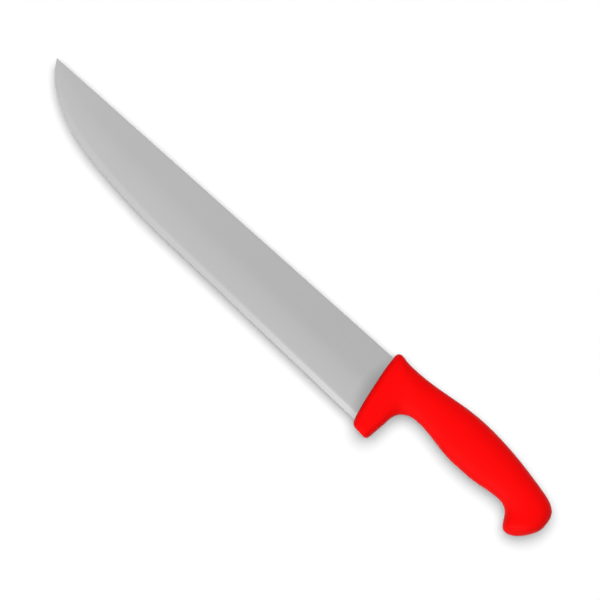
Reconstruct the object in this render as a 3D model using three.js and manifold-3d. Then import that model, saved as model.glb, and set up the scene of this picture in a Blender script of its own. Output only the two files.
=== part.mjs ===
// Butcher's steak knife: a stamped and ground stainless blade, and a one-piece handle moulded round its hidden tang.
// Millimetres. The knife lies on its side: +X runs from the point to the butt, +Y towards the spine, +Z is up.
// It is drawn from a datum at the guard's front face, on the spine line, half way through the blade's thickness.
import * as THREE from 'three';
import * as BufferGeometryUtils from 'three/addons/utils/BufferGeometryUtils.js';
import Module from 'manifold-3d';

// Blade: lengths along the spine from the point, depths below the spine, angles in degrees to the spine
const BLADE_LENGTH = 300.5;
const BLADE_THICKNESS = 2.5;
const RUNOUT_THICKNESS = 2.1;
const POINT_THICKNESS = 0.8;
const RICASSO_LENGTH = 14;
const HEEL_HEIGHT = 47.7;
const EDGE_SLOPE = 1.87;
const POINT_ANGLE = 65;
const SWEEP_LENGTH = 30.5;
const SWEEP_DEPTH = 26.1;
const SWEEP_ANGLE = 25;
const BELLY_LENGTH = 42;
const BELLY_DEPTH = 36.9;
const BELLY_ANGLE = 8;
const BELLY_RUNOUT = 58;

// Grind: a flat upper half, a taper down to the shoulder, and a narrow bevel at the edge
const GRIND_DEPTH = 22.5;
const GRIND_SHARE_AT_POINT = 0.62;
const SHOULDER_THICKNESS = 0.9;
const EDGE_BEVEL = 4.5;
const EDGE_BEVEL_AT_POINT = 2.6;
const EDGE_THICKNESS = 0.12;
const SPINE_CHAMFER = 0.3;
const BEVEL_SHARE_LIMIT = 0.2;
const CHAMFER_SHARE_LIMIT = 0.1;

// Tang: the heel runs into the guard at full height, and a narrower bar with keying holes goes on into the grip
const HEEL_INSET = 14;
const TANG_LENGTH = 98;
const TANG_DROP = 2.5;
const TANG_HEIGHT = 14;
const TANG_END_HEIGHT = 12;
const TANG_HOLE = 7;
const TANG_HOLE_PITCH = 28;
const TANG_HOLE_COUNT = 3;
const FIT_CLEARANCE = 0.3;

// Handle, the finger side: places along the handle from the guard's front, depths below the spine line
const FOOT_COVER = 4.9;
const FOOT_REAR_AT = 20.2;
const GUARD_REAR_LOW_AT = 22.7;
const GUARD_REAR_CORNER = 2.6;
const GUARD_REAR_TOP_AT = 24.8;
const GUARD_REAR_TOP_DEPTH = 34.5;
const CROTCH_AT = 29.4;
const CROTCH_DEPTH = 24.25;
const NECK_AT = 39.4;
const NECK_DEPTH = 21.15;
const PALM_BEHIND_NECK = 37.9;
const PALM_DEPTH = 25.9;
const PALM_LENGTH = 12;
const WAIST_BEHIND_PALM = 24.7;
const WAIST_DEPTH = 23.55;
const BEAK_ROOT_BEHIND_WAIST = 7.3;
const BEAK_ROOT_DROP = 1.8;
const BEAK_FRONT_BEHIND_WAIST = 12.3;
const BEAK_FRONT_DROP = 7.65;
const BEAK_BEHIND_WAIST = 18.5;
const BEAK_DROP = 13.75;

// Handle, the front face and the back: rises above the spine line
const FOOT_FRONT_AT = 11.8;
const FOOT_FRONT_LIFT = 0.7;
const GUARD_FRONT_LOW_AT = 7.1;
const GUARD_FRONT_CORNER = 6.7;
const GUARD_FRONT_MIDDLE_AT = 2.9;
const GUARD_FRONT_MIDDLE_DEPTH = 24.6;
const HORN_FRONT_RISE = 1.6;
const HORN_TOP_AT = 3.3;
const HORN_TOP_RISE = 5.05;
const HORN_BACK_AT = 9.1;
const HORN_BACK_RISE = 4.05;
const VALLEY_AT = 19.8;
const VALLEY_RISE = 3.6;
const HUMP_AHEAD_OF_PALM = 5.5;
const HUMP_RISE = 7.93;
const SHOULDER_BEHIND_WAIST = 17.8;
const SHOULDER_RISE = 0.07;
const BUTT_CORNER_BEHIND_WAIST = 31.55;
const BUTT_CORNER_DEPTH = 5.15;
const BUTT_BEHIND_WAIST = 35.75;
const BUTT_DEPTH = 17;
const BUTT_HEEL_BEHIND_WAIST = 28.55;
const BUTT_HEEL_DROP = 8.25;

// Handle: headings of the outline where it is neither along the spine line nor square to it, in degrees from +X
const FOOT_FRONT_HEADING = 172;
const GUARD_FRONT_LOW_HEADING = 105;
const GUARD_FRONT_MIDDLE_HEADING = 98.5;
const HORN_BACK_HEADING = -8;
const SHOULDER_HEADING = -12.7;
const BUTT_CORNER_HEADING = -39;
const BUTT_HEEL_HEADING = -132.5;
const GUARD_REAR_LOW_HEADING = 81;
const GUARD_REAR_TOP_HEADING = 84;
const CROTCH_HEADING = 37;
const BEAK_ROOT_HEADING = -30;
const BEAK_FRONT_HEADING = -60;

// Handle thicknesses, from the guard's foot to the pommel
const FOOT_THICKNESS = 11;
const GUARD_THICKNESS = 20;
const NECK_THICKNESS = 20;
const PALM_THICKNESS = 25;
const WAIST_THICKNESS = 23;
const POMMEL_THICKNESS = 24;

// Squareness of the handle's oval sections: 2 is an ellipse, and larger is squarer
const GUARD_SQUARENESS = 3.0;
const GRIP_SQUARENESS = 2.4;

// Facets
const HANDLE_RING_POINTS = 32;
const TIGHT_RING_SPACING = 1.8;
const CURVED_RING_SPACING = 3;
const LONG_RING_SPACING = 6;
const EDGE_CURVE_STEPS = 10;
const HOLE_SEGMENTS = 24;

const wasm = await Module();
wasm.setup();

// A closed geometry becomes a solid that can be joined and cut.
function toSolid(geometry) {
  geometry.deleteAttribute('normal');
  geometry.deleteAttribute('uv');
  const welded = BufferGeometryUtils.mergeVertices(geometry);
  const mesh = new wasm.Mesh({
    numProp: 3,
    vertProperties: new Float32Array(welded.attributes.position.array),
    triVerts: new Uint32Array(welded.index.array),
  });
  return new wasm.Manifold(mesh);
}

function toMesh(name, solid, material) {
  const { vertProperties, triVerts } = solid.getMesh();
  const geometry = new THREE.BufferGeometry();
  geometry.setAttribute('position', new THREE.BufferAttribute(vertProperties, 3));
  geometry.setIndex(new THREE.BufferAttribute(triVerts, 1));
  geometry.computeVertexNormals();
  const mesh = new THREE.Mesh(geometry, material);
  mesh.name = name;
  return mesh;
}

// Skins a row of rings that all have as many points. A ring of one point closes the skin to a tip,
// and a full ring at an end is closed by a flat fan, because every section here is convex.
function loft(rings) {
  const positions = [];
  const triangles = [];
  const starts = rings.map((ring) => {
    const start = positions.length / 3;
    ring.forEach((point) => positions.push(point.x, point.y, point.z));
    return start;
  });
  for (let i = 0; i + 1 < rings.length; i += 1) {
    const count = Math.max(rings[i].length, rings[i + 1].length);
    for (let k = 0; k < count; k += 1) {
      const next = (k + 1) % count;
      const [a, b] = [k, next].map((j) => starts[i] + (j % rings[i].length));
      const [c, d] = [k, next].map((j) => starts[i + 1] + (j % rings[i + 1].length));
      if (a !== b) triangles.push(a, b, d);
      if (c !== d) triangles.push(a, d, c);
    }
  }
  const first = starts[0];
  const last = starts.at(-1);
  for (let k = 1; k + 1 < rings[0].length; k += 1) {
    triangles.push(first, first + k + 1, first + k);
  }
  for (let k = 1; k + 1 < rings.at(-1).length; k += 1) {
    triangles.push(last, last + k, last + k + 1);
  }
  const geometry = new THREE.BufferGeometry();
  geometry.setAttribute('position', new THREE.Float32BufferAttribute(positions, 3));
  geometry.setIndex(triangles);
  return geometry;
}

// A knot of an outline: where it is, and which way the outline is heading there, in degrees from +X.
function knot(along, height, heading) {
  const angle = THREE.MathUtils.degToRad(heading);
  return {
    point: new THREE.Vector2(along, height),
    tangent: new THREE.Vector2(Math.cos(angle), Math.sin(angle)),
  };
}

// A cubic between two knots, with the pull that draws a circular arc where the turn is even.
function bend(from, to) {
  const turn = Math.acos(THREE.MathUtils.clamp(from.tangent.dot(to.tangent), -1, 1));
  const share = turn < 1e-6 ? 1 / 3 : (2 / 3) * Math.tan(turn / 4) / Math.sin(turn / 2);
  const pull = share * from.point.distanceTo(to.point);
  return new THREE.CubicBezierCurve(
    from.point,
    from.point.clone().addScaledVector(from.tangent, pull),
    to.point.clone().addScaledVector(to.tangent, -pull),
    to.point,
  );
}

// One smooth curve through a row of knots.
function rail(knots) {
  const path = new THREE.CurvePath();
  for (let i = 0; i + 1 < knots.length; i += 1) {
    path.add(bend(knots[i], knots[i + 1]));
  }
  return path;
}

// Blade

function straightEdgeDepth(x) {
  return HEEL_HEIGHT + x * Math.tan(THREE.MathUtils.degToRad(EDGE_SLOPE));
}

// Points along the cutting edge from just behind the point to the heel's end inside the guard.
function edgePoints() {
  const tip = -BLADE_LENGTH;
  const sweep = tip + SWEEP_LENGTH;
  const belly = sweep + BELLY_LENGTH;
  const straight = belly + BELLY_RUNOUT;
  const knots = [
    knot(tip, 0, -POINT_ANGLE),
    knot(sweep, -SWEEP_DEPTH, -SWEEP_ANGLE),
    knot(belly, -BELLY_DEPTH, -BELLY_ANGLE),
    knot(straight, -straightEdgeDepth(straight), -EDGE_SLOPE),
  ];
  const curved = [];
  for (let i = 0; i + 1 < knots.length; i += 1) {
    curved.push(...bend(knots[i], knots[i + 1]).getSpacedPoints(EDGE_CURVE_STEPS).slice(1));
  }
  const heel = [-RICASSO_LENGTH, HEEL_INSET].map((x) => new THREE.Vector2(x, -straightEdgeDepth(x)));
  return [...curved, ...heel];
}

// The blade's thickness: full at the guard, thinning a little along the straight edge and more towards the point.
function thicknessAt(x) {
  const curvedLength = SWEEP_LENGTH + BELLY_LENGTH + BELLY_RUNOUT;
  const straightLength = BLADE_LENGTH - curvedLength - RICASSO_LENGTH;
  const fromPoint = x + BLADE_LENGTH;
  if (fromPoint < curvedLength) {
    return THREE.MathUtils.lerp(POINT_THICKNESS, RUNOUT_THICKNESS, fromPoint / curvedLength);
  }
  const share = Math.min(1, (fromPoint - curvedLength) / straightLength);
  return THREE.MathUtils.lerp(RUNOUT_THICKNESS, BLADE_THICKNESS, share);
}

// The blade's section where its edge is at a given point. Grown by a clearance, it is the handle's slot.
function bladeSection(edge, clearance) {
  const height = -edge.y;
  const nearPoint = THREE.MathUtils.clamp(1 - height / HEEL_HEIGHT, 0, 1);
  const thickness = thicknessAt(edge.x);
  const bevelWidth = THREE.MathUtils.lerp(EDGE_BEVEL, EDGE_BEVEL_AT_POINT, nearPoint);
  const bevel = Math.min(bevelWidth, height * BEVEL_SHARE_LIMIT);
  const chamfer = Math.min(SPINE_CHAMFER, height * CHAMFER_SHARE_LIMIT);
  const grind = height * THREE.MathUtils.lerp(GRIND_DEPTH / HEEL_HEIGHT, GRIND_SHARE_AT_POINT, nearPoint);
  const shoulder = thickness * (SHOULDER_THICKNESS / BLADE_THICKNESS);
  const half = [
    [clearance, thickness / 2 - chamfer],
    [clearance - chamfer, thickness / 2],
    [-grind, thickness / 2],
    [bevel - height, shoulder / 2],
    [-height - clearance, EDGE_THICKNESS / 2],
  ];
  const upper = half.map(([y, z]) => new THREE.Vector3(edge.x, y, z + clearance));
  const lower = half.map(([y, z]) => new THREE.Vector3(edge.x, y, -z - clearance)).reverse();
  return [...upper, ...lower];
}

// The tang's bar, from inside the heel to its rounded end, pierced by a row of keying holes.
function tangPlate(clearance) {
  const top = -TANG_DROP + clearance;
  const bottom = -TANG_DROP - TANG_HEIGHT - clearance;
  const middle = (top + bottom) / 2;
  const end = HEEL_INSET + TANG_LENGTH + clearance;
  const endHalf = TANG_END_HEIGHT / 2 + clearance;
  const root = HEEL_INSET / 2;
  const outline = new THREE.Shape();
  outline.moveTo(root, bottom);
  outline.lineTo(end - endHalf, middle - endHalf);
  outline.absarc(end - endHalf, middle, endHalf, -Math.PI / 2, Math.PI / 2);
  outline.lineTo(root, top);
  for (let i = 1; i <= TANG_HOLE_COUNT; i += 1) {
    const hole = new THREE.Path();
    hole.absarc(HEEL_INSET + i * TANG_HOLE_PITCH, middle, TANG_HOLE / 2 - clearance, 0, 2 * Math.PI);
    outline.holes.push(hole);
  }
  const depth = BLADE_THICKNESS + 2 * clearance;
  const settings = { depth, bevelEnabled: false, curveSegments: HOLE_SEGMENTS };
  return new THREE.ExtrudeGeometry(outline, settings).translate(0, 0, -depth / 2);
}

function bladeSolid() {
  const rings = edgePoints().map((edge) => bladeSection(edge, 0));
  const point = [new THREE.Vector3(-BLADE_LENGTH, 0, 0)];
  return toSolid(loft([point, ...rings])).add(toSolid(tangPlate(0)));
}

// Everything of the blade that lies inside the handle, grown by the clearance.
function tangCavity() {
  const stations = [-RICASSO_LENGTH, HEEL_INSET + FIT_CLEARANCE];
  const rings = stations.map((x) => bladeSection(new THREE.Vector2(x, -straightEdgeDepth(x)), FIT_CLEARANCE));
  return toSolid(loft(rings)).add(toSolid(tangPlate(FIT_CLEARANCE)));
}

// Handle

// Two rails carry the handle's sections: the outer one runs up the guard's front, over the horn and along the back
// to the beak, and the inner one up the guard's rear, round the finger recess and along the belly to the beak.
// Each span pairs a stretch of one rail with a stretch of the other.
function handleSpans() {
  const foot = -HEEL_HEIGHT - FOOT_COVER;
  const palm = NECK_AT + PALM_BEHIND_NECK;
  const palmRear = palm + PALM_LENGTH;
  const waist = palmRear + WAIST_BEHIND_PALM;
  const beakY = -WAIST_DEPTH - BEAK_DROP;
  const beakX = waist + BEAK_BEHIND_WAIST;

  const footFront = knot(FOOT_FRONT_AT, foot + FOOT_FRONT_LIFT, FOOT_FRONT_HEADING);
  const frontLow = knot(GUARD_FRONT_LOW_AT, foot + GUARD_FRONT_CORNER, GUARD_FRONT_LOW_HEADING);
  const frontMiddle = knot(GUARD_FRONT_MIDDLE_AT, -GUARD_FRONT_MIDDLE_DEPTH, GUARD_FRONT_MIDDLE_HEADING);
  const hornFront = knot(0, HORN_FRONT_RISE, 90);
  const hornTop = knot(HORN_TOP_AT, HORN_TOP_RISE, 0);
  const hornBack = knot(HORN_BACK_AT, HORN_BACK_RISE, HORN_BACK_HEADING);
  const valley = knot(VALLEY_AT, VALLEY_RISE, 0);
  const hump = knot(palm - HUMP_AHEAD_OF_PALM, HUMP_RISE, 0);
  const shoulder = knot(waist + SHOULDER_BEHIND_WAIST, SHOULDER_RISE, SHOULDER_HEADING);
  const buttCorner = knot(waist + BUTT_CORNER_BEHIND_WAIST, -BUTT_CORNER_DEPTH, BUTT_CORNER_HEADING);
  const butt = knot(waist + BUTT_BEHIND_WAIST, -BUTT_DEPTH, -90);
  const buttHeel = knot(waist + BUTT_HEEL_BEHIND_WAIST, -WAIST_DEPTH - BUTT_HEEL_DROP, BUTT_HEEL_HEADING);
  const beakFromButt = knot(beakX, beakY, 180);

  const footRear = knot(FOOT_REAR_AT, foot, 0);
  const rearLow = knot(GUARD_REAR_LOW_AT, foot + GUARD_REAR_CORNER, GUARD_REAR_LOW_HEADING);
  const rearTop = knot(GUARD_REAR_TOP_AT, -GUARD_REAR_TOP_DEPTH, GUARD_REAR_TOP_HEADING);
  const crotch = knot(CROTCH_AT, -CROTCH_DEPTH, CROTCH_HEADING);
  const neck = knot(NECK_AT, -NECK_DEPTH, 0);
  const palmBelly = knot(palm, -PALM_DEPTH, 0);
  const palmRearBelly = knot(palmRear, -PALM_DEPTH, 0);
  const waistBelly = knot(waist, -WAIST_DEPTH, 0);
  const beakRoot = knot(waist + BEAK_ROOT_BEHIND_WAIST, -WAIST_DEPTH - BEAK_ROOT_DROP, BEAK_ROOT_HEADING);
  const beakFront = knot(waist + BEAK_FRONT_BEHIND_WAIST, -WAIST_DEPTH - BEAK_FRONT_DROP, BEAK_FRONT_HEADING);
  const beakFromWaist = knot(beakX, beakY, 0);

  return [
    { outer: rail([footFront, frontLow]), inner: rail([footRear, rearLow]), spacing: TIGHT_RING_SPACING },
    { outer: rail([frontLow, frontMiddle]), inner: rail([rearLow, rearTop]), spacing: CURVED_RING_SPACING },
    { outer: rail([frontMiddle, hornFront]), inner: rail([rearTop, crotch]), spacing: CURVED_RING_SPACING },
    { outer: rail([hornFront, hornTop, hornBack, valley]), inner: rail([crotch, neck]), spacing: TIGHT_RING_SPACING },
    { outer: rail([valley, hump]), inner: rail([neck, palmBelly]), spacing: LONG_RING_SPACING },
    {
      outer: rail([hump, shoulder]),
      inner: rail([palmBelly, palmRearBelly, waistBelly]),
      spacing: LONG_RING_SPACING,
    },
    {
      outer: rail([shoulder, buttCorner, butt]),
      inner: rail([waistBelly, beakRoot, beakFront]),
      spacing: CURVED_RING_SPACING,
    },
    { outer: rail([butt, buttHeel, beakFromButt]), inner: rail([beakFront, beakFromWaist]), spacing: CURVED_RING_SPACING },
  ];
}

// A run through one value for each span's start, read at any place along the spans. It eases in and out of each
// value, so it is level at its crests and dips, and flat between two values that are alike.
function blendAlong(values) {
  return (place) => {
    const span = Math.floor(place);
    return THREE.MathUtils.lerp(values[span], values[span + 1], THREE.MathUtils.smoothstep(place, span, span + 1));
  };
}

// An oval section between two points of the rails, standing square to the blade's plane.
function handleSection(outer, inner, halfThickness, squareness) {
  const middle = outer.clone().add(inner).multiplyScalar(0.5);
  const reach = outer.clone().sub(inner).multiplyScalar(0.5);
  const bulge = (value) => Math.sign(value) * Math.abs(value) ** (2 / squareness);
  const ring = [];
  for (let k = 0; k < HANDLE_RING_POINTS; k += 1) {
    const angle = (2 * Math.PI * k) / HANDLE_RING_POINTS;
    const point = middle.clone().addScaledVector(reach, bulge(Math.cos(angle)));
    ring.push(new THREE.Vector3(point.x, point.y, halfThickness * bulge(Math.sin(angle))));
  }
  return ring;
}

// The outside of the moulding, from the flat of the guard's foot to the tip of the beak.
function handleBody() {
  const spans = handleSpans();
  const beakSpan = spans.length - 1;
  const thickness = blendAlong([GUARD_THICKNESS, GUARD_THICKNESS, GUARD_THICKNESS, GUARD_THICKNESS, NECK_THICKNESS,
    PALM_THICKNESS, WAIST_THICKNESS, POMMEL_THICKNESS, POMMEL_THICKNESS]);
  const squareness = blendAlong([GUARD_SQUARENESS, GUARD_SQUARENESS, GUARD_SQUARENESS, GRIP_SQUARENESS, GRIP_SQUARENESS,
    GRIP_SQUARENESS, GRIP_SQUARENESS, GRIP_SQUARENESS, GRIP_SQUARENESS]);
  const rings = [];
  spans.forEach(({ outer, inner, spacing }, span) => {
    const steps = Math.ceil(outer.getLength() / spacing);
    for (let i = 0; i < steps; i += 1) {
      const share = i / steps;
      const place = span + share;
      let full = thickness(place);
      if (span === 0) full = THREE.MathUtils.lerp(FOOT_THICKNESS, full, Math.sqrt(share * (2 - share)));
      if (span === beakSpan) full *= Math.cos((Math.PI / 2) * share);
      rings.push(handleSection(outer.getPoint(share), inner.getPoint(share), full / 2, squareness(place)));
    }
  });
  const beak = spans[beakSpan].outer.getPoint(1);
  rings.push([new THREE.Vector3(beak.x, beak.y, 0)]);
  return toSolid(loft(rings));
}

function handleSolid() {
  return handleBody().subtract(tangCavity());
}

const steel = new THREE.MeshStandardMaterial({ color: '#bfbfbf', roughness: 0.35, metalness: 1 });
const redPolypropylene = new THREE.MeshStandardMaterial({ color: '#f80f10', roughness: 0.5, metalness: 0 });

const drawn = new THREE.Group();
drawn.add(toMesh('blade', bladeSolid(), steel));
drawn.add(toMesh('handle', handleSolid(), redPolypropylene));

// The finished knife stands on the middle of its box's underside.
const box = new THREE.Box3().setFromObject(drawn);
const centre = box.getCenter(new THREE.Vector3());
drawn.position.set(-centre.x, -centre.y, -box.min.z);

const knife = new THREE.Group();
knife.name = 'steak_knife';
knife.add(drawn);

export default knife;
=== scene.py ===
"""Butcher's steak knife: a satin-ground steel blade in a red moulded handle, lying in a white studio."""
import math
from bisect import bisect_right
from itertools import accumulate, pairwise
from typing import NamedTuple

import bmesh
import bpy
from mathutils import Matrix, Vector
from mathutils.geometry import interpolate_bezier


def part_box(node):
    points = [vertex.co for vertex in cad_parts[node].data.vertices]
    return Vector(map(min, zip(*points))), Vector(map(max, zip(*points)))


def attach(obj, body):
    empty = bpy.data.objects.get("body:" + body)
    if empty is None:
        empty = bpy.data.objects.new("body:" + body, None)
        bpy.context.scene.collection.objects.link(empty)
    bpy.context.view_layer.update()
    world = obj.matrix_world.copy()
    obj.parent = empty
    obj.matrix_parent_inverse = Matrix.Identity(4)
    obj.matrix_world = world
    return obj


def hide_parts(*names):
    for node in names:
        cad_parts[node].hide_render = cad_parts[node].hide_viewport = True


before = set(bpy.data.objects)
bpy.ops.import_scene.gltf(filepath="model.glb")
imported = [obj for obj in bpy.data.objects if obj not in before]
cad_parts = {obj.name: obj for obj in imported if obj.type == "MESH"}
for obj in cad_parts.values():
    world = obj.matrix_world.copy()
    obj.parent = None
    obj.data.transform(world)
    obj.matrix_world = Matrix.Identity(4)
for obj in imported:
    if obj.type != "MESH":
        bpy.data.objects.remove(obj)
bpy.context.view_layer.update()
BLADE_LOW, BLADE_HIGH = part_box("blade")
HANDLE_LOW, HANDLE_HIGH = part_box("handle")

bl_info = {
    "name": "Butcher's Steak Knife",
    "version": (1, 0, 0),
    "blender": (4, 5, 0),
    "location": "View3D > Sidebar > Steak Knife",
    "description": "Builds a butcher's steak knife and the white studio that it lies in",
    "category": "Add Mesh",
}

MM = 0.001
BLADE_PIECE = "ground_blade"
HANDLE_PIECE = "moulded_handle"

# The knife is drawn from the guard's front, on the spine line, half way through the blade's thickness
DATUM = Vector((HANDLE_LOW.x, BLADE_HIGH.y, (BLADE_LOW.z + BLADE_HIGH.z) / 2))


class Knot(NamedTuple):
    """A place on an outline: millimetres from the datum, and its heading in degrees from the spine line."""
    along: float
    rise: float
    heading: float


# Cutting edge, from the point to its straight run and on to the heel's end inside the guard
POINT_ANGLE = 65
EDGE_SWEEP = Knot(-270.0, -26.1, -25)
EDGE_BELLY = Knot(-228.0, -36.9, -8)
EDGE_STRAIGHT = Knot(-170.0, -42.15, -1.87)
HEEL_END = Knot(14.0, -48.16, -1.87)
RICASSO_AT = -14.0

# Blade in millimetres: thickness where the edge begins to curve and at the point, bevel there, and edge
RUNOUT_THICKNESS = 2.1
POINT_THICKNESS = 1.55
EDGE_BEVEL_AT_POINT = 3.3
EDGE_THICKNESS = 0.12

# Shares of the blade's height: its thickness and its bevel at most, and the depth of its flat at the point
POINT_THICKNESS_SHARE = 0.055
EDGE_BEVEL_SHARE = 0.25
GRIND_SHARE_AT_POINT = 0.21

# Shares of the blade's thickness: what the grind leaves above the bevel, and the spine's rounding at most
BEVEL_SHOULDER_SHARE = 0.54
SPINE_ROUND_SHARE = 0.1

# The grind thins the blade by a power of the way down it, and is drawn in rows
GRIND_POWER = 1.47
GRIND_ROWS = 9

# Millimetres to the rows beside the grind line and the bevel that keep faces flat under smooth shading
GRIND_LINE_GAP = 2.5
BEVEL_SHOULDER_GAP = 0.5

# Millimetres between the sections along the blade
BLADE_CURVE_SPACING = 1.2
BLADE_STRAIGHT_SPACING = 6.0

# Painted shade of the guard on the blade, in millimetres: its middle, and its radius where it begins and is
# full
GUARD_SHADE_ALONG = 45.0
GUARD_SHADE_RISE = -20.0
GUARD_SHADE_START = 53.0
GUARD_SHADE_FULL = 42.0

# Handle outline, up the guard's front, over the horn and along the back to the beak
FOOT_FRONT = Knot(11.8, -51.9, 172)
GUARD_FRONT_LOW = Knot(7.1, -45.9, 105)
GUARD_FRONT_MIDDLE = Knot(2.9, -24.6, 98.5)
HORN_FRONT = Knot(0.0, 1.6, 90)
HORN_TOP = Knot(3.3, 5.05, 0)
HORN_BACK = Knot(9.1, 4.05, -8)
VALLEY = Knot(19.8, 3.6, 0)
HUMP = Knot(71.8, 7.93, 0)
SHOULDER = Knot(131.8, 0.07, -12.7)
BUTT_CORNER = Knot(145.55, -5.15, -39)
BUTT = Knot(149.75, -17.0, -90)
BUTT_HEEL = Knot(142.55, -31.8, -132.5)
BEAK_FROM_BUTT = Knot(132.5, -37.3, 180)

# Handle outline, up the guard's rear, round the finger recess and along the belly to the beak
FOOT_REAR = Knot(20.2, -52.6, 0)
GUARD_REAR_LOW = Knot(22.7, -50.0, 81)
GUARD_REAR_TOP = Knot(24.8, -34.5, 84)
CROTCH = Knot(29.4, -24.25, 37)
NECK = Knot(39.4, -21.15, 0)
PALM = Knot(77.3, -25.9, 0)
PALM_REAR = Knot(89.3, -25.9, 0)
WAIST = Knot(114.0, -23.55, 0)
BEAK_ROOT = Knot(121.3, -25.35, -30)
BEAK_FRONT = Knot(126.3, -31.2, -60)
BEAK_FROM_WAIST = Knot(132.5, -37.3, 0)

# Each span of the handle pairs a stretch of one outline with a stretch of the other
HANDLE_SPANS = [
    ([FOOT_FRONT, GUARD_FRONT_LOW], [FOOT_REAR, GUARD_REAR_LOW]),
    ([GUARD_FRONT_LOW, GUARD_FRONT_MIDDLE], [GUARD_REAR_LOW, GUARD_REAR_TOP]),
    ([GUARD_FRONT_MIDDLE, HORN_FRONT], [GUARD_REAR_TOP, CROTCH]),
    ([HORN_FRONT, HORN_TOP, HORN_BACK, VALLEY], [CROTCH, NECK]),
    ([VALLEY, HUMP], [NECK, PALM]),
    ([HUMP, SHOULDER], [PALM, PALM_REAR, WAIST]),
    ([SHOULDER, BUTT_CORNER, BUTT], [WAIST, BEAK_ROOT, BEAK_FRONT]),
    ([BUTT, BUTT_HEEL, BEAK_FROM_BUTT], [BEAK_FRONT, BEAK_FROM_WAIST]),
]

# Squareness of the sections at each span's start and the last one's end: 2 is an ellipse, more is squarer
GUARD_SQUARENESS = 3.0
GRIP_SQUARENESS = 2.4
HANDLE_SQUARENESS = [GUARD_SQUARENESS] * 3 + [GRIP_SQUARENESS] * 6

# Fineness: points in each bend of an outline, points round the handle, and millimetres between its rings
BEND_POINTS = 48
HANDLE_RING_POINTS = 72
HANDLE_RING_SPACING = 0.8

# The parting line keeps within the first step round a ring
SEAM_ANGLE_LIMIT = 0.4 * math.tau / HANDLE_RING_POINTS

# Edges that turn by more than this are shaded sharp
SHARP_ANGLE = math.radians(40)

# Sockets of a colour Mix node
MIX_FACTOR, MIX_A, MIX_B, MIX_RESULT = 0, 6, 7, 2

# Metres across the floor, which is wider than any view of the knife
FLOOR_SIZE = 12.0

# How far past full white the floor is brought, so that it shows no grain
WHITE_MARGIN = 0.008

# Millimetres across the camera's sensor
SENSOR_WIDTH = 36.0


class Lamp(NamedTuple):
    """A soft lamp far away: the direction that it shines from, and how wide it looks in degrees."""
    name: str
    direction: tuple
    width: float


# The key casts the shadow, the fill lights the handle's belly without one, and neither shows in gloss
KEY = Lamp("overhead_key", (-0.14, 0.167, 1.0), 51)
FILL = Lamp("belly_fill", (0.12, -1.0, 0.25), 60)

# Lamps that show in gloss alone, with their shares: for the edge bevel, the far end and the ground taper
SHEENS = [
    (Lamp("edge_sheen", (0.45, -0.83, 1.0), 60), 0.155),
    (Lamp("point_sheen", (-0.55, -0.22, 1.0), 60), 0.048),
    (Lamp("taper_sheen", (0.07, -0.435, 1.0), 42.6), 0.018),
]


def linear_colour(code):
    """The linear RGB of an sRGB hex colour such as #c0ffee."""
    shares = [int(code[i:i + 2], 16) / 255 for i in (1, 3, 5)]
    return tuple(s / 12.92 if s <= 0.04045 else ((s + 0.055) / 1.055) ** 2.4 for s in shares)


class BladeSettings(bpy.types.PropertyGroup):
    """Sizes and finish of the blade"""
    length: bpy.props.FloatProperty(
        name="Length", description="From the point to the guard's front",
        default=DATUM.x - BLADE_LOW.x, unit="LENGTH", subtype="DISTANCE")
    heel_height: bpy.props.FloatProperty(
        name="Heel height", description="From the spine to the edge at the guard's front",
        default=47.7 * MM, unit="LENGTH", subtype="DISTANCE")
    thickness: bpy.props.FloatProperty(
        name="Thickness", description="Of the flat beside the guard",
        default=BLADE_HIGH.z - BLADE_LOW.z, unit="LENGTH", subtype="DISTANCE")
    grind_depth: bpy.props.FloatProperty(
        name="Grind depth", description="From the spine to the grind line, beside the guard",
        default=22.5 * MM, unit="LENGTH", subtype="DISTANCE")
    edge_bevel: bpy.props.FloatProperty(
        name="Edge bevel", description="Width of the bevel along the cutting edge, beside the guard",
        default=4.5 * MM, unit="LENGTH", subtype="DISTANCE")
    spine_radius: bpy.props.FloatProperty(
        name="Spine radius", description="Rounding of the spine's two corners",
        default=0.35 * MM, unit="LENGTH", subtype="DISTANCE")
    colour: bpy.props.FloatVectorProperty(
        name="Steel", description="Colour of the ground steel",
        default=linear_colour("#adadad"), subtype="COLOR", min=0, max=1)
    streak_colour: bpy.props.FloatVectorProperty(
        name="Streaks", description="Colour of the steel between its brighter grinding lines",
        default=linear_colour("#aaaaaa"), subtype="COLOR", min=0, max=1)
    # Painted shade: the colour that stands in for the guard's shadow on the blade
    guard_shade_colour: bpy.props.FloatVectorProperty(
        name="Painted guard shade", description="Colour of the steel right beside the guard",
        default=linear_colour("#959595"), subtype="COLOR", min=0, max=1)


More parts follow.
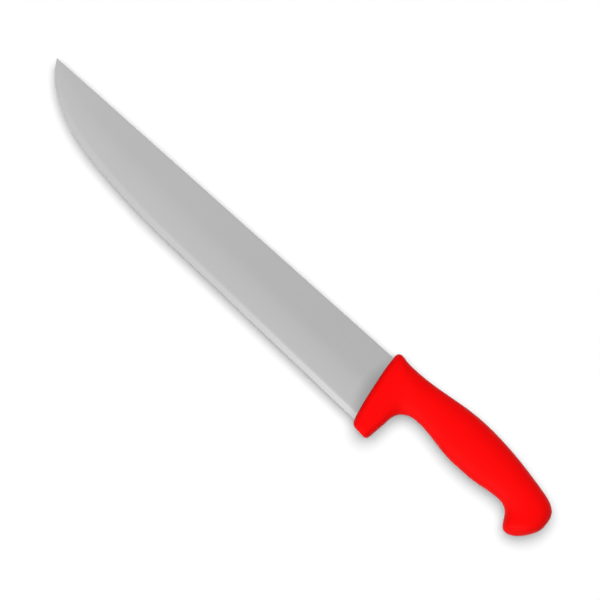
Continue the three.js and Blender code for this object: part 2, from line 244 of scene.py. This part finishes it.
class HandleSettings(bpy.types.PropertyGroup):
    """Thicknesses and finish of the handle"""
    foot_thickness: bpy.props.FloatProperty(
        name="Foot", description="Thickness of the guard's foot",
        default=11 * MM, unit="LENGTH", subtype="DISTANCE")
    guard_thickness: bpy.props.FloatProperty(
        name="Guard", description="Thickness from the guard up to the horn",
        default=20 * MM, unit="LENGTH", subtype="DISTANCE")
    neck_thickness: bpy.props.FloatProperty(
        name="Neck", description="Thickness behind the finger recess",
        default=20 * MM, unit="LENGTH", subtype="DISTANCE")
    palm_thickness: bpy.props.FloatProperty(
        name="Palm", description="Thickness of the palm swell, the handle's thickest place",
        default=HANDLE_HIGH.z - HANDLE_LOW.z, unit="LENGTH", subtype="DISTANCE")
    waist_thickness: bpy.props.FloatProperty(
        name="Waist", description="Thickness ahead of the pommel",
        default=23 * MM, unit="LENGTH", subtype="DISTANCE")
    pommel_thickness: bpy.props.FloatProperty(
        name="Pommel", description="Thickness of the beaked pommel",
        default=24 * MM, unit="LENGTH", subtype="DISTANCE")
    seam_height: bpy.props.FloatProperty(
        name="Seam height", description="How far the mould's parting line stands out",
        default=0.12 * MM, unit="LENGTH", subtype="DISTANCE")
    seam_width: bpy.props.FloatProperty(
        name="Seam width", description="Width of the mould's parting line",
        default=0.5 * MM, unit="LENGTH", subtype="DISTANCE")
    colour: bpy.props.FloatVectorProperty(
        name="Red", description="Colour of the plastic",
        default=linear_colour("#ff0a0b"), subtype="COLOR", min=0, max=1)
    deep_colour: bpy.props.FloatVectorProperty(
        name="Deep red", description="Colour of the plastic where its pigment lies denser",
        default=linear_colour("#fb0909"), subtype="COLOR", min=0, max=1)


class StudioSettings(bpy.types.PropertyGroup):
    """Camera, floor and light"""
    picture_width: bpy.props.FloatProperty(
        name="Picture width", description="What the picture spans at the blade's height",
        default=400 * MM, unit="LENGTH", subtype="DISTANCE")
    picture_along: bpy.props.FloatProperty(
        name="Picture centre along",
        description="From the guard's front to the picture's centre, along the spine line",
        default=-72.3 * MM, unit="LENGTH", subtype="DISTANCE")
    picture_rise: bpy.props.FloatProperty(
        name="Picture centre rise", description="From the spine line to the picture's centre",
        default=-12.65 * MM, unit="LENGTH", subtype="DISTANCE")
    spine_slope: bpy.props.FloatProperty(
        name="Spine slope", description="How steeply the spine runs down across the picture",
        default=math.radians(41.7), unit="ROTATION", subtype="ANGLE")
    lens: bpy.props.FloatProperty(
        name="Lens", description="Focal length in millimetres, long enough to show no perspective",
        default=400, unit="CAMERA")
    floor_colour: bpy.props.FloatVectorProperty(
        name="Floor", description="Colour of the floor where light falls on it",
        default=linear_colour("#fcfcfc"), subtype="COLOR", min=0, max=1)
    bounce_colour: bpy.props.FloatVectorProperty(
        name="Bounce", description="Colour that the floor throws back on the knife",
        default=linear_colour("#a0a0a0"), subtype="COLOR", min=0, max=1)
    key_share: bpy.props.FloatProperty(
        name="Key", description="Share of the floor's light that comes from the lamp overhead",
        default=0.85, min=0, subtype="FACTOR")
    fill_share: bpy.props.FloatProperty(
        name="Fill", description="Share of the floor's light that comes from the lamp on the belly's side",
        default=0.13, min=0, subtype="FACTOR")
    ambient_share: bpy.props.FloatProperty(
        name="Ambient", description="Share of the floor's light that comes evenly from all around",
        default=0.02, min=0, subtype="FACTOR")


def place(along, rise, lift):
    """A point given in millimetres from the datum, in the frame's metres."""
    return DATUM + Vector((along, rise, lift)) * MM


def mix(low, high, share):
    """The value that is a share of the way from one value to another."""
    return low + (high - low) * share


def bend(start, end):
    """Points of a cubic between two knots, pulled as it is in a circular arc."""
    first, last = (Vector((knot.along, knot.rise)) for knot in (start, end))
    leaving, arriving = (
        Vector((math.cos(math.radians(knot.heading)), math.sin(math.radians(knot.heading))))
        for knot in (start, end)
    )
    turn = leaving.angle(arriving)
    share = 2 / 3 * math.tan(turn / 4) / math.sin(turn / 2) if turn > 1e-6 else 1 / 3
    pull = share * (last - first).length
    return interpolate_bezier(first, first + leaving * pull, last - arriving * pull, last, BEND_POINTS)


class Rail:
    """A smooth line through knots, read by its share of length."""

    def __init__(self, knots):
        self.points = [Vector((knots[0].along, knots[0].rise))]
        for start, end in pairwise(knots):
            self.points += bend(start, end)[1:]
        steps = [(end - start).length for start, end in pairwise(self.points)]
        self.marks = [0.0, *accumulate(steps)]
        self.length = self.marks[-1]

    def at(self, share):
        """The point that is a share of the length from the start."""
        mark = share * self.length
        i = min(bisect_right(self.marks, mark), len(self.marks) - 1)
        start = self.marks[i - 1]
        return self.points[i - 1].lerp(self.points[i], (mark - start) / (self.marks[i] - start))


def loft(bm, sections):
    """Extrudes a ring of vertices from section to section, and returns the first and the last ring."""
    turn = bm.verts.layers.int.new("turn")
    ring = bmesh.ops.create_circle(bm, segments=len(sections[0]), radius=1.0)["verts"]
    for i, vert in enumerate(ring):
        vert[turn] = i
        vert.co = sections[0][i]
    first = ring
    edges = list(bm.edges)
    for section in sections[1:]:
        grown = bmesh.ops.extrude_edge_only(bm, edges=edges)["geom"]
        ring = [part for part in grown if isinstance(part, bmesh.types.BMVert)]
        edges = [part for part in grown if isinstance(part, bmesh.types.BMEdge) and part.is_boundary]
        for vert in ring:
            vert.co = section[vert[turn]]
    return first, ring


def close_flat(bm, ring):
    """Closes the open end of a loft with one flat face."""
    members = set(ring)
    edges = [edge for edge in bm.edges if edge.is_boundary and members.issuperset(edge.verts)]
    bmesh.ops.edgeloop_fill(bm, edges=edges)


def finished_piece(context, bm, name, material, node):
    """Makes a piece of the knife from a closed bmesh, in place of the solid that it stands for."""
    bmesh.ops.recalc_face_normals(bm, faces=bm.faces)
    mesh = bpy.data.meshes.new(name)
    bm.to_mesh(mesh)
    bm.free()
    mesh.shade_smooth()
    mesh.set_sharp_from_angle(angle=SHARP_ANGLE)
    mesh.materials.append(material)
    piece = bpy.data.objects.new(name, mesh)
    context.scene.collection.objects.link(piece)
    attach(piece, "root")
    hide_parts(node)
    # It throws no light on the floor, so its shadow stays one soft grey, with no red in it
    piece.visible_diffuse = False
    return piece


def add_node(tree, kind, settings, inputs):
    """Adds a node with its settings, and gives each input a value or a link from another node's output."""
    node = tree.nodes.new(kind)
    for name, value in settings.items():
        setattr(node, name, value)
    for name, value in inputs.items():
        if isinstance(value, bpy.types.NodeSocket):
            tree.links.new(value, node.inputs[name])
        else:
            node.inputs[name].default_value = value
    return node


def new_material(name):
    """An empty node material and its tree."""
    material = bpy.data.materials.new(name)
    material.use_nodes = True
    material.node_tree.nodes.clear()
    return material, material.node_tree


def with_alpha(colour):
    """A colour as a shader's colour socket takes it."""
    return (*colour, 1.0)


def satin_ground_stainless_steel(settings):
    """Martensitic stainless steel, ground across the blade on a belt and left satin."""
    # The belt leaves fine lines from spine to edge: a soft grey sheen that shows no sharp reflection.
    # Such lines are a few hundredths of a millimetre apart, and are drawn coarser so that they show.
    line_spacing = 0.2 * MM
    line_length = 35 * MM
    line_depth = 0.0005 * MM
    cloud_size = 45 * MM
    material, tree = new_material("satin_ground_stainless_steel")
    coordinates = add_node(tree, "ShaderNodeTexCoord", {}, {}).outputs["Object"]
    along_lines = add_node(tree, "ShaderNodeMapping", {}, {
        "Vector": coordinates, "Scale": (1 / line_spacing, 1 / line_length, 1 / line_length)})
    lines = add_node(tree, "ShaderNodeTexNoise", {}, {
        "Vector": along_lines.outputs["Vector"], "Scale": 1.0, "Detail": 3.0, "Roughness": 0.6})
    clouds = add_node(tree, "ShaderNodeTexNoise", {}, {
        "Vector": coordinates, "Scale": 1 / cloud_size, "Detail": 2.0})
    blend = add_node(tree, "ShaderNodeMath", {"operation": "MULTIPLY_ADD"}, {
        0: clouds.outputs["Fac"], 1: 0.5, 2: lines.outputs["Fac"]})
    share = add_node(tree, "ShaderNodeMapRange", {}, {
        "Value": blend.outputs["Value"], "From Min": 0.5, "From Max": 1.0})
    ground = add_node(tree, "ShaderNodeMix", {"data_type": "RGBA"}, {
        MIX_FACTOR: share.outputs["Result"],
        MIX_A: with_alpha(settings.streak_colour), MIX_B: with_alpha(settings.colour)})
    # Painted shade: the last centimetre darkens towards the guard, most in the middle, where its shadow
    # falls
    from_guard = add_node(tree, "ShaderNodeVectorMath", {"operation": "DISTANCE"}, {
        0: coordinates, 1: place(GUARD_SHADE_ALONG, GUARD_SHADE_RISE, 0)})
    guard_shade = add_node(tree, "ShaderNodeMapRange", {"interpolation_type": "SMOOTHSTEP"}, {
        "Value": from_guard.outputs["Value"], "From Min": GUARD_SHADE_START * MM, "From Max": GUARD_SHADE_FULL * MM})
    colour = add_node(tree, "ShaderNodeMix", {"data_type": "RGBA"}, {
        MIX_FACTOR: guard_shade.outputs["Result"],
        MIX_A: ground.outputs[MIX_RESULT], MIX_B: with_alpha(settings.guard_shade_colour)})
    roughness = add_node(tree, "ShaderNodeMapRange", {}, {
        "Value": lines.outputs["Fac"], "From Min": 0.3, "From Max": 0.7, "To Min": 0.155, "To Max": 0.185})
    bump = add_node(tree, "ShaderNodeBump", {}, {
        "Height": lines.outputs["Fac"], "Strength": 0.1, "Distance": line_depth})
    surface = add_node(tree, "ShaderNodeBsdfPrincipled", {}, {
        "Base Color": colour.outputs[MIX_RESULT], "Metallic": 1.0,
        "Roughness": roughness.outputs["Result"], "Normal": bump.outputs["Normal"]})
    add_node(tree, "ShaderNodeOutputMaterial", {}, {"Surface": surface.outputs["BSDF"]})
    return material


def spark_eroded_polypropylene(settings):
    """Red polypropylene, moulded against a spark-eroded tool."""
    # The tool's fine pits leave a dry matte skin that shades its own highlights, so little gloss is left.
    # The pits are about a tenth of a millimetre wide, and are drawn coarser so that they show.
    pit_size = 0.4 * MM
    pit_depth = 0.02 * MM
    pigment_size = 18 * MM
    material, tree = new_material("spark_eroded_polypropylene")
    coordinates = add_node(tree, "ShaderNodeTexCoord", {}, {}).outputs["Object"]
    pits = add_node(tree, "ShaderNodeTexNoise", {}, {
        "Vector": coordinates, "Scale": 1 / pit_size, "Detail": 2.0})
    pigment = add_node(tree, "ShaderNodeTexNoise", {}, {
        "Vector": coordinates, "Scale": 1 / pigment_size, "Detail": 2.0})
    colour = add_node(tree, "ShaderNodeMix", {"data_type": "RGBA"}, {
        MIX_FACTOR: pigment.outputs["Fac"],
        MIX_A: with_alpha(settings.deep_colour), MIX_B: with_alpha(settings.colour)})
    roughness = add_node(tree, "ShaderNodeMapRange", {}, {
        "Value": pits.outputs["Fac"], "From Min": 0.3, "From Max": 0.7, "To Min": 0.46, "To Max": 0.56})
    bump = add_node(tree, "ShaderNodeBump", {}, {
        "Height": pits.outputs["Fac"], "Strength": 0.5, "Distance": pit_depth})
    surface = add_node(tree, "ShaderNodeBsdfPrincipled", {}, {
        "Base Color": colour.outputs[MIX_RESULT], "IOR": 1.49, "Specular IOR Level": 0.05,
        "Roughness": roughness.outputs["Result"], "Normal": bump.outputs["Normal"]})
    add_node(tree, "ShaderNodeOutputMaterial", {}, {"Surface": surface.outputs["BSDF"]})
    return material


def seen_directly(tree):
    """A mask of the rays that show the studio, from the camera, in a reflection or through a clear body."""
    rays = add_node(tree, "ShaderNodeLightPath", {}, {}).outputs
    seen = add_node(tree, "ShaderNodeMath", {"operation": "MAXIMUM"}, {
        0: rays["Is Camera Ray"], 1: rays["Is Glossy Ray"]})
    seen = add_node(tree, "ShaderNodeMath", {"operation": "MAXIMUM"}, {
        0: seen.outputs["Value"], 1: rays["Is Transmission Ray"]})
    return seen.outputs["Value"]


def white_sweep(settings):
    """Matt paper floor of a packshot."""
    # Lamps light it almost to white and draw the knife's shadow, and a faint glow of its own does the rest.
    light = settings.key_share + settings.fill_share + settings.ambient_share
    glow = 1 - settings.floor_colour[0] * light + WHITE_MARGIN
    material, tree = new_material("white_sweep")
    seen = seen_directly(tree)
    strength = add_node(tree, "ShaderNodeMath", {"operation": "MULTIPLY"}, {0: seen, 1: glow})
    colour = add_node(tree, "ShaderNodeMix", {"data_type": "RGBA"}, {
        MIX_FACTOR: seen,
        MIX_A: with_alpha(settings.bounce_colour), MIX_B: with_alpha(settings.floor_colour)})
    paper = add_node(tree, "ShaderNodeBsdfDiffuse", {}, {"Color": colour.outputs[MIX_RESULT]})
    lift = add_node(tree, "ShaderNodeEmission", {}, {"Strength": strength.outputs["Value"]})
    surface = add_node(tree, "ShaderNodeAddShader", {}, {
        0: paper.outputs["BSDF"], 1: lift.outputs["Emission"]})
    add_node(tree, "ShaderNodeOutputMaterial", {}, {"Surface": surface.outputs["Shader"]})
    return material


def blade_thickness(settings, along):
    """Thickness in millimetres: it falls slowly from the guard to the edge's curve, and then faster."""
    point = -settings.length / MM
    full = settings.thickness / MM
    if along < EDGE_STRAIGHT.along:
        return mix(POINT_THICKNESS, RUNOUT_THICKNESS, (along - point) / (EDGE_STRAIGHT.along - point))
    share = (along - EDGE_STRAIGHT.along) / (RICASSO_AT - EDGE_STRAIGHT.along)
    return mix(RUNOUT_THICKNESS, full, min(1.0, share))


def blade_profile(settings, along, height):
    """One side of the blade's section, from spine to edge: depths below the spine and half thicknesses."""
    near_point = max(0.0, 1 - height * MM / settings.heel_height)
    thickness = min(blade_thickness(settings, along), height * POINT_THICKNESS_SHARE)
    flat = thickness / 2
    bevel = min(mix(settings.edge_bevel / MM, EDGE_BEVEL_AT_POINT, near_point), height * EDGE_BEVEL_SHARE)
    corner = min(settings.spine_radius / MM, thickness * SPINE_ROUND_SHARE)
    grind = height * mix(settings.grind_depth / settings.heel_height, GRIND_SHARE_AT_POINT, near_point)
    ground = height - bevel - grind
    # The gap is at most a third of the grind's step, so that its rows keep their order
    gap = min(BEVEL_SHOULDER_GAP, ground / GRIND_ROWS / 3)
    shoulder = flat * BEVEL_SHOULDER_SHARE
    edge = min(EDGE_THICKNESS / 2, shoulder)
    bevel_fall = (shoulder - edge) / bevel
    rounding = [math.radians(angle) for angle in (0, 30, 60, 90)]
    profile = [(corner * (1 - math.cos(a)), flat - corner * (1 - math.sin(a))) for a in rounding]
    profile += [(2 * corner, flat), (grind - min(GRIND_LINE_GAP, grind / 4), flat)]
    depths = [grind + ground * row / GRIND_ROWS for row in range(GRIND_ROWS)]
    depths += [height - bevel - gap * row for row in (2, 1)]
    for depth in depths:
        thinning = (flat - shoulder) * ((depth - grind) / ground) ** GRIND_POWER
        profile.append((depth, flat - thinning))
    profile += [(height - bevel + gap * row, shoulder - bevel_fall * gap * row) for row in (1, 2)]
    profile.append((height, edge))
    return profile


def blade_section(settings, edge):
    """The ring of points round the blade where its edge is at a given place."""
    profile = blade_profile(settings, edge.x, -edge.y)
    upper = [place(edge.x, -depth, half) for depth, half in profile]
    lower = [place(edge.x, -depth, -half) for depth, half in reversed(profile)]
    return upper + lower


def blade_sections(settings):
    """Rings along the blade, from the heel's end inside the guard to just behind the point."""
    point = Knot(-settings.length / MM, 0.0, -POINT_ANGLE)
    curved = Rail([point, EDGE_SWEEP, EDGE_BELLY, EDGE_STRAIGHT])
    straight = Rail([EDGE_STRAIGHT, HEEL_END])
    edges = []
    for rail, spacing in ((straight, BLADE_STRAIGHT_SPACING), (curved, BLADE_CURVE_SPACING)):
        steps = math.ceil(rail.length / spacing)
        edges += [rail.at(1 - step / steps) for step in range(steps)]
    return [blade_section(settings, edge) for edge in edges]


def eased_along(values, where):
    """A smooth run through one value for each span's start and the last one's end, level at each of them."""
    span = int(where)
    share = where - span
    return mix(values[span], values[span + 1], share * share * (3 - 2 * share))


def handle_section(settings, outer, inner, half, squareness):
    """The ring of points of one oval section, with the mould's parting line where it meets the outlines."""
    middle = (outer + inner) / 2
    reach = (outer - inner) / 2
    seam_share = min(1.0, settings.seam_width / MM / 2 / half)
    seam = min(math.asin(seam_share ** (squareness / 2)), SEAM_ANGLE_LIMIT)
    step = math.tau / HANDLE_RING_POINTS
    side = [step * k for k in range(1, HANDLE_RING_POINTS // 2)]
    half_turn = [0.0, seam, *side, math.pi - seam]
    ring = []
    for angle in [*half_turn, *(math.pi + a for a in half_turn)]:
        across = math.copysign(abs(math.cos(angle)) ** (2 / squareness), math.cos(angle))
        lift = math.copysign(abs(math.sin(angle)) ** (2 / squareness), math.sin(angle))
        spot = middle + reach * across
        if angle in (0.0, math.pi):
            spot += reach.normalized() * math.copysign(settings.seam_height / MM, across)
        ring.append(place(spot.x, spot.y, half * lift))
    return ring


def handle_sections(settings):
    """Rings along the handle, from the flat of the guard's foot to just short of the beak's tip."""
    guard = settings.guard_thickness / MM
    pommel = settings.pommel_thickness / MM
    thicknesses = [guard, guard, guard, guard, settings.neck_thickness / MM, settings.palm_thickness / MM,
                   settings.waist_thickness / MM, pommel, pommel]
    beak_span = len(HANDLE_SPANS) - 1
    rings = []
    for span, (outer_knots, inner_knots) in enumerate(HANDLE_SPANS):
        outer = Rail(outer_knots)
        inner = Rail(inner_knots)
        steps = math.ceil(max(outer.length, inner.length) / HANDLE_RING_SPACING)
        for step in range(steps):
            share = step / steps
            full = eased_along(thicknesses, span + share)
            # Quarter curves thin the handle to the foot's flat and to the beak's tip
            if span == 0:
                full = mix(settings.foot_thickness / MM, full, math.sqrt(share * (2 - share)))
            if span == beak_span:
                full *= math.cos(math.pi / 2 * share)
            squareness = eased_along(HANDLE_SQUARENESS, span + share)
            rings.append(handle_section(settings, outer.at(share), inner.at(share), full / 2, squareness))
    return rings


def mould_round(context, moulding, core):
    """Takes the core's own shape out of a moulding that was shot round it."""
    cut = moulding.modifiers.new("slot", "BOOLEAN")
    cut.operation = "DIFFERENCE"
    cut.solver = "EXACT"
    cut.object = core
    shaped = moulding.evaluated_get(context.evaluated_depsgraph_get())
    mesh = bpy.data.meshes.new_from_object(shaped)
    moulding.modifiers.clear()
    moulding.data = mesh
    mesh.set_sharp_from_angle(angle=SHARP_ANGLE)


def add_lamp(context, lamp, share):
    """Hangs a lamp that gives a share of the light of a fully lit floor."""
    direction = Vector(lamp.direction)
    light = bpy.data.lights.new(lamp.name, "SUN")
    light.energy = share * math.pi / direction.normalized().z
    light.angle = math.radians(lamp.width)
    holder = bpy.data.objects.new(lamp.name, light)
    holder.rotation_euler = direction.to_track_quat("Z", "Y").to_euler()
    holder.visible_camera = False
    context.scene.collection.objects.link(holder)
    return holder


class STEAKKNIFE_OT_grind_blade(bpy.types.Operator):
    """Make the blade: flat upper half, ground lower half, edge bevel, rounded spine and hidden heel"""
    bl_idname = "steak_knife.grind_blade"
    bl_label = "Grind Blade"

    def execute(self, context):
        settings = context.scene.steak_knife_blade
        bm = bmesh.new()
        heel, behind_point = loft(bm, blade_sections(settings))
        close_flat(bm, heel)
        point = place(-settings.length / MM, 0, 0)
        bmesh.ops.pointmerge(bm, verts=behind_point, merge_co=point)
        material = satin_ground_stainless_steel(settings)
        finished_piece(context, bm, BLADE_PIECE, material, "blade")
        return {"FINISHED"}


class STEAKKNIFE_OT_mould_handle(bpy.types.Operator):
    """Make the handle: guard, horn, finger recess, palm swell and beaked pommel, moulded round the heel"""
    bl_idname = "steak_knife.mould_handle"
    bl_label = "Mould Handle"

    def execute(self, context):
        settings = context.scene.steak_knife_handle
        bm = bmesh.new()
        foot, behind_beak = loft(bm, handle_sections(settings))
        close_flat(bm, foot)
        beak = place(BEAK_FROM_BUTT.along, BEAK_FROM_BUTT.rise, 0)
        bmesh.ops.pointmerge(bm, verts=behind_beak, merge_co=beak)
        material = spark_eroded_polypropylene(settings)
        handle = finished_piece(context, bm, HANDLE_PIECE, material, "handle")
        mould_round(context, handle, bpy.data.objects[BLADE_PIECE])
        return {"FINISHED"}


class STEAKKNIFE_OT_set_studio(bpy.types.Operator):
    """Lay the white floor, hang the lamps and set the camera straight above the blade"""
    bl_idname = "steak_knife.set_studio"
    bl_label = "Set Studio"

    def execute(self, context):
        settings = context.scene.steak_knife_studio
        self.lay_floor(context, settings)
        self.light(context, settings)
        self.set_camera(context, settings)
        context.scene.view_settings.view_transform = "Standard"
        return {"FINISHED"}

    def lay_floor(self, context, settings):
        bm = bmesh.new()
        bmesh.ops.create_grid(bm, x_segments=1, y_segments=1, size=FLOOR_SIZE / 2)
        mesh = bpy.data.meshes.new("studio_floor")
        bm.to_mesh(mesh)
        bm.free()
        mesh.materials.append(white_sweep(settings))
        floor = bpy.data.objects.new("studio_floor", mesh)
        context.scene.collection.objects.link(floor)

    def light(self, context, settings):
        world = bpy.data.worlds.new("white_studio")
        world.use_nodes = True
        tree = world.node_tree
        tree.nodes.clear()
        strength = add_node(tree, "ShaderNodeMath", {"operation": "MAXIMUM"}, {
            0: seen_directly(tree), 1: settings.ambient_share})
        glow = add_node(tree, "ShaderNodeBackground", {}, {
            "Color": (1, 1, 1, 1), "Strength": strength.outputs["Value"]})
        add_node(tree, "ShaderNodeOutputWorld", {}, {"Surface": glow.outputs["Background"]})
        context.scene.world = world
        key = add_lamp(context, KEY, settings.key_share)
        key.visible_glossy = False
        # The floor's bounced rays pass through the knife, so any that met the key would pale the shadow
        key.data.cycles.use_multiple_importance_sampling = False
        fill = add_lamp(context, FILL, settings.fill_share)
        fill.visible_glossy = False
        fill.data.use_shadow = False
        for lamp, share in SHEENS:
            sheen = add_lamp(context, lamp, share)
            sheen.visible_diffuse = False

    def set_camera(self, context, settings):
        lens = bpy.data.cameras.new("overhead_camera")
        lens.sensor_width = SENSOR_WIDTH
        lens.lens = settings.lens
        camera = bpy.data.objects.new("overhead_camera", lens)
        height = settings.picture_width * settings.lens / SENSOR_WIDTH
        camera.location = DATUM + Vector((settings.picture_along, settings.picture_rise, height))
        camera.rotation_euler = (0.0, 0.0, settings.spine_slope)
        context.scene.collection.objects.link(camera)
        context.scene.camera = camera


class STEAKKNIFE_PT_sidebar(bpy.types.Panel):
    """The knife's settings and the buttons that make it"""
    bl_label = "Steak Knife"
    bl_idname = "STEAKKNIFE_PT_sidebar"
    bl_space_type = "VIEW_3D"
    bl_region_type = "UI"
    bl_category = "Steak Knife"

    def draw(self, context):
        for owner, operator in PANEL_GROUPS:
            box = self.layout.box()
            settings = getattr(context.scene, owner)
            for name in settings.bl_rna.properties.keys():
                if name not in ("rna_type", "name"):
                    box.prop(settings, name)
            box.operator(operator.bl_idname)


SETTINGS = {
    "steak_knife_blade": BladeSettings,
    "steak_knife_handle": HandleSettings,
    "steak_knife_studio": StudioSettings,
}
OPERATORS = [STEAKKNIFE_OT_grind_blade, STEAKKNIFE_OT_mould_handle, STEAKKNIFE_OT_set_studio]
PANEL_GROUPS = list(zip(SETTINGS, OPERATORS))
CLASSES = [*SETTINGS.values(), *OPERATORS, STEAKKNIFE_PT_sidebar]


def register():
    for kind in CLASSES:
        bpy.utils.register_class(kind)
    for owner, kind in SETTINGS.items():
        setattr(bpy.types.Scene, owner, bpy.props.PointerProperty(type=kind))


def unregister():
    for owner in SETTINGS:
        delattr(bpy.types.Scene, owner)
    for kind in reversed(CLASSES):
        bpy.utils.unregister_class(kind)


def main():
    """Builds the knife in its studio."""
    register()
    bpy.ops.steak_knife.grind_blade()
    bpy.ops.steak_knife.mould_handle()
    bpy.ops.steak_knife.set_studio()


if __name__ == "__main__":
    main()
